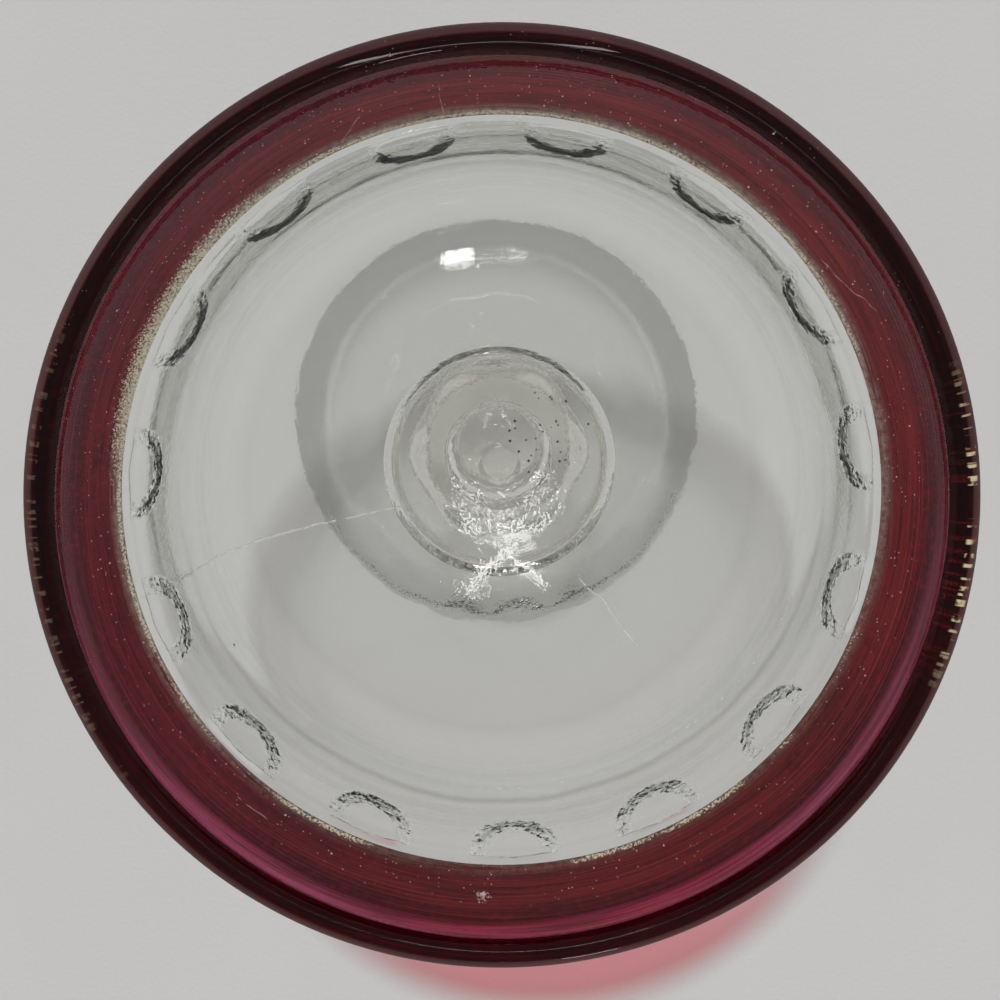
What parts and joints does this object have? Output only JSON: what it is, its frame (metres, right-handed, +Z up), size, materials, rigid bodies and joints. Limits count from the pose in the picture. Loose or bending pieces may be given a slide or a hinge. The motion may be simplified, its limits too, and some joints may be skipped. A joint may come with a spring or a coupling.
{
  "type": "pedestal compote",
  "caption": "Footed pressed-glass compote: round bowl with a flared ruby band above a row of thumbprints, round stem with a six-sided knop, round foot.",
  "frame": {"origin": "middle of the circle that the foot stands on", "axes": "+Z up the stem, out of the bowl's mouth; one thumbprint faces -Y"},
  "size_m": [0.1524, 0.1524, 0.15],
  "materials": {
    "clear_glass": "clear pressed glass, polished, faintly grey-green, with fine scratches inside the bowl",
    "ruby_flash": "transparent ruby flash, glossy, with chalky specks and a worn pale-gold line along its edge"
  },
  "bodies": {
    "root": {"foot": "clear_glass", "lower_collar": "clear_glass", "stem": "clear_glass", "upper_collar": "clear_glass", "bowl": "clear_glass", "ruby_flash": "ruby_flash"}
  },
  "joints": []
}
